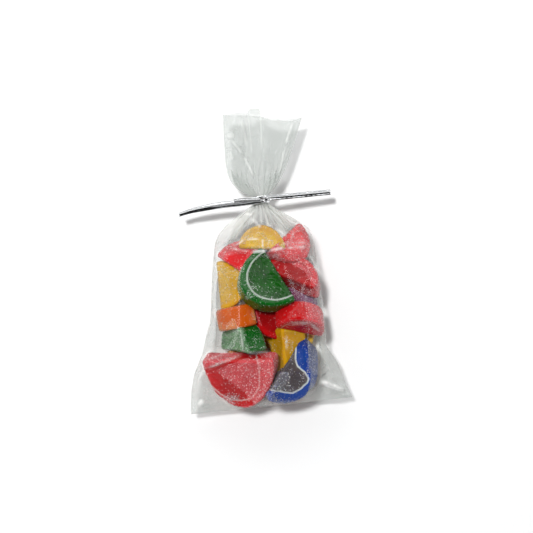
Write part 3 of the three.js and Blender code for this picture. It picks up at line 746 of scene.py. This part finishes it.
def strip(path, roll, width, closed=False, vee=0.0):
    """Two foil wings on a wire, carried along a path. The wings lie along y where roll is 0,
    and their edges are bent down by vee."""
    tangent = np.gradient(path, axis=0)
    if closed:
        tangent = np.roll(path, -1, 0) - np.roll(path, 1, 0)
    tangent /= np.linalg.norm(tangent, axis=1, keepdims=True)
    up = np.array([0, 1.0, 0]) - tangent * tangent[:, 1:2]
    up /= np.linalg.norm(up, axis=1, keepdims=True)
    out = np.cross(tangent, up)
    c, s = np.cos(roll)[:, None], np.sin(roll)[:, None]
    wide, thin = up * c + out * s, out * c - up * s
    # once round the strip: across one side of it, with the wire in the middle, and back
    side = np.array([-1, -0.97, -0.6, -0.24, -0.12, 0, 0.12, 0.24, 0.6, 0.97])
    high = np.array([0, 0.07, 0.09, 0.12, 0.3, 0.36, 0.3, 0.12, 0.09, 0.07])
    side, high = np.concatenate([side, -side]), np.concatenate([high, -high])
    n = len(path)
    along = np.arange(n) * np.linalg.norm(path[1] - path[0])
    ruffle = 0.04 * np.sin(along * 2.3)[:, None] * np.abs(side) ** 2
    ruffle = ruffle + 0.03 * np.sin(along * 5.1 + 1)[:, None] * side
    high = high - np.reshape(vee, (-1, 1)) * np.abs(side) ** 1.2
    across = side[None, :, None] * np.reshape(width, (-1, 1, 1)) / 2
    points = path[:, None] + wide[:, None] * across + thin[:, None] * (high + ruffle)[..., None]
    m = len(side)
    flat = points.reshape(-1, 3)
    if closed:
        a = np.arange(m)
        b = np.roll(a, -1)
        faces = [grid_faces(n, m), np.stack([a + (n - 1) * m, b + (n - 1) * m, b, a], -1)]
    else:
        a = np.arange(1, m // 2)
        lid = np.stack([a, (m - a) % m, (m - a - 1) % m, a + 1], -1)[:-1]
        first = np.concatenate([lid, [[0, m - 1, 1, 1]]])
        ends = np.array([[0, m - 1, 1], [m // 2 - 1, m // 2 + 1, m // 2]])
        last = (n - 1) * m
        faces = [grid_faces(n, m), lid, ends, (lid + last)[:, ::-1], (ends + last)[:, ::-1]]
    foil = np.tile(side, n)
    return flat, faces, foil


def tie_parts():
    front = NECK[2] + 5.4             # the height at which the arms cross over the band
    t = np.linspace(0, 1, 90)
    left = curve_through([
        (4.6, 112.9, front - 0.2), (2.2, 112.2, front + 0.5), (-2, 111.5, front + 0.6),
        (-8, 111.1, front), (-16, 110.9, front - 1.5), (-22, 110.6, front - 2.6),
        (-30, 109.8, front - 4), (-37, 108.8, front - 5.4), (-43.5, 107.3, front - 6.6)], 90)
    roll = mix(0.9, 0.1, smooth(0.0, 0.12, t)) + 0.03 * np.sin(21 * t) * smooth(0.1, 0.3, t)
    roll = roll + 0.24 * smooth(0.55, 0.8, t)
    vee = mix(-0.42, -0.12, smooth(0.5, 0.75, t))
    yield strip(left, roll, mix(3.6, 2.6, smooth(0.7, 1, t)), vee=vee)
    t = np.linspace(0, 1, 110)
    right = curve_through([
        (-12.8, 112.4, front - 0.2), (-8, 112.5, front + 0.6), (-3.0, 112.3, front + 1.1),
        (1.0, 112.2, front + 1.6), (3.4, 112.8, front + 1.3), (6, 112.9, front + 0.2),
        (10, 112.9, front - 1.0), (20, 113.2, front - 3), (31, 113.6, front - 4.6),
        (40.3, 113.9, front - 6)], 110)
    twist = np.exp(-(((t - 0.3) / 0.02) ** 2))
    roll = mix(0.05, -0.4, smooth(0.26, 0.34, t)) + twist + 0.03 * np.sin(26 * t)
    yield strip(right, roll, mix(2.4, 3.5, smooth(0.25, 0.33, t)), vee=0.05)
    a = np.linspace(0, 2 * np.pi, 73)[:-1]
    x, z = NECK[0] + BAND_R * np.cos(a), NECK[2] + BAND_R * np.sin(a)
    loop = np.stack([x, 112 + 0.25 * np.sin(a + 0.6), z], -1)
    yield strip(loop[::-1], np.zeros(72), np.full(72, 3.9), closed=True)


def joined(parts):
    """Several meshes as one, each with its own points."""
    points, faces, values, first = [], [], [], 0
    for p, f, v in parts:
        points.append(p)
        faces += [g + first for g in f]
        values.append(v)
        first += len(p)
    return np.concatenate(points), faces, np.concatenate(values)


# ------------------------------------------------------------------------------ finishes
# rind, flesh where it is dark and where it glows, sugar on it, and how far red, green and
# blue light go in
FRUIT = {
    "cherry": (srgb(188, 14, 19), srgb(150, 8, 12), srgb(226, 34, 40),
               srgb(244, 128, 136), (1, 0.2, 0.2)),
    "lime": (srgb(6, 88, 16), srgb(13, 64, 6), srgb(24, 124, 22),
             srgb(150, 186, 150), (0.35, 1, 0.35)),
    "lemon": (srgb(212, 160, 12), srgb(170, 110, 4), srgb(226, 180, 20),
              srgb(236, 208, 124), (1, 0.75, 0.2)),
    "orange": (srgb(200, 88, 8), srgb(150, 46, 2), srgb(222, 104, 10),
               srgb(244, 176, 116), (1, 0.45, 0.15)),
    "berry": (srgb(8, 58, 142), srgb(60, 53, 56), srgb(96, 89, 92),
              srgb(150, 152, 164), (0.25, 0.4, 1)),
    "grape": (srgb(124, 58, 90), srgb(104, 48, 78), srgb(126, 68, 94),
              srgb(176, 150, 184), (0.6, 0.3, 0.9)),
}


def jelly(fruit):
    rind, dark, light, frost, reach = FRUIT[fruit]
    paint = Paint("jelly_" + fruit)
    skin, wet, sugar = paint.field("under_rind"), paint.field("wet"), paint.field("sugar")
    deep = skin + (paint.noise(260, 3) - 0.5) * 0.7
    flesh = paint.colour(paint.field("glow") + (paint.noise(90, 2) - 0.5) * 0.9, dark, light)
    colour = paint.colour(deep.between(2.9, 3.5), rind, flesh)
    pith = deep.between(2.6, 3.0) * deep.between(3.9, 3.4) * paint.field("pith")
    colour = paint.colour(pith * 0.5, colour, (0.8, 0.84, 0.8, 1))
    # sugar: a tinted veil where it is dry, and grains half a millimetre across in it
    where = paint.place()
    grain = paint.node("TexVoronoi", {"feature": "F1"}, {"Vector": where, "Scale": 1500.0})
    own = paint.node("TexVoronoi", {"feature": "F1"}, {"Vector": where, "Scale": 1500.0}, 1)
    pick = paint.node("SeparateColor", {}, {"Color": own})
    cover = sugar - wet * 1.1 + (paint.noise(140, 3) - 0.5) * 0.9
    thick = cover.between(-0.1, 1.1)
    there = (thick - pick).between(-0.1, 0.1) * grain.between(0.7, 0.35)
    colour = paint.colour(thick * 0.3 + there * 0.3, colour, frost)
    colour = paint.colour(there * pick.between(0.0, 0.35, 0.6, 0.0), colour, (1, 1, 1, 1))
    rough = thick * 0.34 + 0.16
    height = there * grain.between(0.6, 0.0) + paint.noise(700, 2) * 0.25
    normal = paint.node("Bump", {}, {"Strength": 0.9, "Distance": 0.0005, "Height": height})
    shader = paint.node("BsdfPrincipled", {}, {
        "Base Color": colour, "Roughness": rough, "Normal": normal, "Subsurface Weight": 0.6,
        "Subsurface Radius": reach, "Subsurface Scale": 0.004, "IOR": 1.42, "Specular IOR Level": 0.5})
    return paint.finish(shader)


def sugar_grains():
    paint = Paint("sugar_crystal")
    tint = paint.noise(900, 1)
    under = paint.node("Attribute", {"attribute_name": "under"})
    colour = paint.colour(tint.between(0.35, 0.65, 0.0, 0.55), under, (0.97, 0.97, 0.97, 1))
    shader = paint.node("BsdfPrincipled", {}, {
        "Base Color": colour, "Roughness": tint.between(0.3, 0.7, 0.12, 0.3), "IOR": 1.54,
        "Transmission Weight": 0.6})
    return paint.finish(shader)


def clear_film():
    """Clear where it lies on a slice, with a mirror's shine that grows at a slant. Where it
    is loose it is a little milky, as many scratches and creases scatter light. Along the
    creases it is painted milky white, a painted highlight."""
    paint = Paint("clear_film")
    slant = paint.node("LayerWeight", {}, {"Blend": 0.35}, 1)
    smear = paint.noise(60, 4)
    loose = paint.field("loose")
    shine = slant ** 3.0 * 0.42 + 0.036
    normal = paint.node("Bump", {}, {
        "Strength": 0.09, "Distance": 0.0004, "Height": paint.noise(180, 3) * loose})
    clear = paint.node("BsdfTransparent", {}, {"Color": (0.975, 0.98, 0.975, 1)})
    gloss = paint.node("BsdfPrincipled", {}, {
        "Base Color": (0.95, 0.97, 0.96, 1), "Metallic": 1.0,
        "Roughness": smear.between(0.3, 0.8, 0.07, 0.14), "Normal": normal})
    # painted highlight: along the creases the film is made whiter and more milky
    crease_highlight = paint.field("crease_highlight")
    white = paint.field("pale") * 0.75 + crease_highlight * 1.5
    shade = paint.colour(white, (0.57, 0.6, 0.575, 1), (0.95, 0.95, 0.93, 1))
    milk = paint.node("BsdfPrincipled", {}, {"Base Color": shade, "Roughness": 0.5})
    haze = loose * smear.between(0.2, 0.8, 0.28, 0.38)
    haze = haze + crease_highlight * paint.noise(150, 3).between(0.3, 0.7, 0.25, 0.85)
    bare = paint.node("MixShader", {}, {0: shine, 1: clear, 2: gloss})
    return paint.finish(paint.node("MixShader", {}, {0: haze, 1: bare, 2: milk}))


def tie_foil():
    paint = Paint("tie_foil")
    across = paint.field("across")
    worn = paint.noise(500, 3)
    wire = (across * across).between(0.09, 0.01)
    colour = paint.colour(worn.between(0.5, 0.9) * 0.4, (0.93, 0.94, 0.95, 1), (0.62, 0.62, 0.63, 1))
    colour = paint.colour(wire * 0.25, colour, (0.5, 0.5, 0.5, 1))
    crumple = paint.noise(900, 2, paint.place(Scale=(1.0, 0.4, 1.0)))
    normal = paint.node("Bump", {}, {"Strength": 0.12, "Distance": 0.0002, "Height": crumple})
    shader = paint.node("BsdfPrincipled", {}, {
        "Base Color": colour, "Metallic": 1.0, "Roughness": worn.between(0.3, 0.8, 0.07, 0.16),
        "Normal": normal})
    return paint.finish(shader)


# ------------------------------------------------------------------------------ sugar
MOST_GRAINS, MOST_ON_A_SLICE, GRAINS_PER_MM2, CLUMP = 24500, 2400, 5, 240


def crystals(at, out, size):
    """A squashed octahedron at each place, leaning at random, half sunk in."""
    n = len(at)
    shape = np.array([(1, 0, 0), (-1, 0, 0), (0, 1, 0), (0, -1, 0), (0, 0, 1), (0, 0, -1)], float)
    shape[:4] *= 0.9
    stretch = random.uniform(0.6, 1.25, (n, 1, 3)) * size[:, None, None] / 2
    a = random.normal(0, 1, (n, 3))
    b = np.cross(a, random.normal(0, 1, (n, 3)))
    a /= np.linalg.norm(a, axis=1, keepdims=True)
    b /= np.linalg.norm(b, axis=1, keepdims=True)
    turn = np.stack([a, b, np.cross(a, b)], 1)
    middle = at + out * size[:, None] * 0.2
    points = np.einsum("nij,njk->nik", shape * stretch, turn) + middle[:, None]
    faces = np.array([
        (0, 2, 4), (2, 1, 4), (1, 3, 4), (3, 0, 4), (2, 0, 5), (1, 2, 5), (3, 1, 5), (0, 3, 5)])
    return points.reshape(-1, 3), [(faces[None] + 6 * np.arange(n)[:, None, None]).reshape(-1, 3)]


def grain_places(s, points, quads, normal, skin, side, wet):
    """Places for grains on a slice, and the way out there: by area, on sides that face open
    space, fewer where the film lies wet, more at edges."""
    a, b, c, d = (points[quads[:, i]] for i in range(4))
    area = np.linalg.norm(np.cross(c - a, d - b), axis=1) / 2
    open_space = read(lattice, points[quads[:, 0]] + normal[quads[:, 0]] * 3)[:, 0] > 2.2
    dry = np.clip(s["sugar"] + 0.35 - 0.7 * wet[quads[:, 0]], 0.06, 1.2)
    edge = 1 - np.minimum(smooth(1.5, 3.6, skin), smooth(0, 1.5, 1 - side))[quads[:, 0]]
    chance = area * open_space * dry * mix(0.3, 1, edge)
    count = int(min(chance.sum() * GRAINS_PER_MM2, MOST_ON_A_SLICE))
    chosen = random.choice(len(quads), count, p=chance / chance.sum())
    f, g = random.uniform(0, 1, (2, count, 1))
    at = mix(mix(a[chosen], b[chosen], f), mix(d[chosen], c[chosen], f), g)
    return at, normal[quads[chosen, 0]]


def clump_places(s):
    """Places for a clump of loose sugar on a slice's rim, and the way out there."""
    clump = np.stack([
        random.normal(at, spread, CLUMP) for at, spread in ((-22, 2.8), (4.8, 1.3), (32, 2.5))], -1)
    for _ in range(4):
        off = gap_to(s, clump) - random.uniform(0, 0.5, CLUMP)
        clump -= slope_of(s, clump) * off[:, None]
    return clump, slope_of(s, clump)


# ------------------------------------------------------------------------------ the pieces
lattice = heap_lattice()
paints = {fruit: jelly(fruit) for fruit in FRUIT}
spots, outs, under = [], [], []
for number, s in enumerate(SLICES):
    points, faces, skin, side = slice_skin(s, 30 + number)
    points = squeezed(number, points)
    normal = slope_of(s, points)
    wet = wetness(points, normal[:, 2])
    if number in PITH_LINES:
        by_hand = PITH_IN + beside_line(points, PITH_LINES[number])
        skin = mix(skin, by_hand, smooth(-0.1, 0.25, normal[:, 2]))
    # sugar lies thicker on the rind and along the cut
    coat = s["sugar"] + 0.3 * (1 - smooth(0.0, 1.8, skin)) + 0.15 * side
    piece(f"slice_{number + 1:02d}_{s['fruit']}", points, faces, paints[s["fruit"]],
          "bag", "filled_bag", under_rind=skin, wet=wet, sugar=coat,
          glow=np.full(len(points), s["glow"]), pith=np.full(len(points), s["pith"]))
    at, out = grain_places(s, points, faces[0], normal, skin, side, wet)
    spots.append(at)
    outs.append(out)
    under.append(np.tile(FRUIT[s["fruit"]][3], (len(at), 1)))
spots, outs, under = np.concatenate(spots), np.concatenate(outs), np.concatenate(under)
chosen = random.permutation(len(spots))[:MOST_GRAINS]
sizes = random.uniform(0.22, 0.46, len(chosen)) + 0.3 * random.uniform(0, 1, len(chosen)) ** 6
clump, clump_out = clump_places(SLICES[0])
spots, outs = np.concatenate([spots[chosen], clump]), np.concatenate([outs[chosen], clump_out])
sizes = np.concatenate([sizes, random.uniform(0.34, 0.66, CLUMP)])
under = np.concatenate([under[chosen], np.tile([0.95, 0.7, 0.7, 1], (CLUMP, 1))])
points, faces = crystals(spots, outs, sizes)
grains = piece("sugar_grains", points, faces, sugar_grains(), "bag", "filled_bag",
               under=np.repeat(under, 6, 0))
grains.data.shade_flat()

points, faces, fields = bag_film()
piece("bag_film", points, faces, clear_film(), "bag", "filled_bag", **fields)
points, faces, across = joined(tie_parts())
piece("foil_tie", points, faces, tie_foil(), "tie", "twist_tie", across=across)

# ------------------------------------------------------------------------------ stage
bpy.ops.mesh.primitive_plane_add(size=6, location=(0, 0, 0))
floor = bpy.context.object
floor.name = "floor"
white = Paint("white_table")
floor.data.materials.append(white.finish(white.node("BsdfPrincipled", {}, {
    "Base Color": (0.9, 0.9, 0.9, 1), "Roughness": 0.7})))

scene = bpy.context.scene
scene.view_settings.view_transform = "Standard"
scene.cycles.transparent_max_bounces = 32
scene.cycles.max_bounces = 10


def studio():
    """A white tent all round, open straight above."""
    paint = Paint("studio", "worlds")
    way = paint.node("SeparateXYZ", {}, {"Vector": paint.node("TexCoord")}, 2)
    light = paint.node("Background", {}, {
        "Color": (0.97, 0.99, 1.0, 1), "Strength": way.between(0.84, 0.62) * 0.4 + 0.015})
    return paint.finish(light, "OutputWorld")


scene.world = studio()


def softbox(name, place, target, wide, high, watts, glossy=True):
    lamp = bpy.data.lights.new(name, "AREA")
    lamp.shape, lamp.size, lamp.size_y, lamp.energy = "RECTANGLE", wide, high, watts
    box = bpy.data.objects.new(name, lamp)
    scene.collection.objects.link(box)
    box.location = place
    box.rotation_euler = (Vector(target) - Vector(place)).to_track_quat("-Z", "Y").to_euler()
    box.visible_glossy = glossy


# the key gives form and shadow, the strips the shine on the film, the panel that on the foil
softbox("key", (-0.44, 0.6, 2.4), (0, 0, 0.02), 0.26, 0.26, 53, glossy=False)
softbox("left_strip", (-0.9, 0.1, 0.95), (0, 0, 0.02), 1.2, 0.07, 1.1)
softbox("right_strip", (0.9, 0.1, 0.95), (0, 0, 0.02), 1.2, 0.06, 0.8)
softbox("top_panel", (0, 1.03, 0.86), (0, 0, 0.02), 1.7, 0.62, 4.6)

EYE_X, EYE_Y, EYE_Z, EYE_TURN = 2.5, 75.6, 707.0, -4    # straight above the bag, and turned
camera = bpy.data.cameras.new("camera")
camera.lens, camera.sensor_width = 85, 36
eye = bpy.data.objects.new("camera", camera)
eye.location = (EYE_X / 1000, (EYE_Y - MIDDLE_Y) / 1000, EYE_Z / 1000)
eye.rotation_euler = (0, 0, math.radians(EYE_TURN))
scene.collection.objects.link(eye)
scene.camera = eye
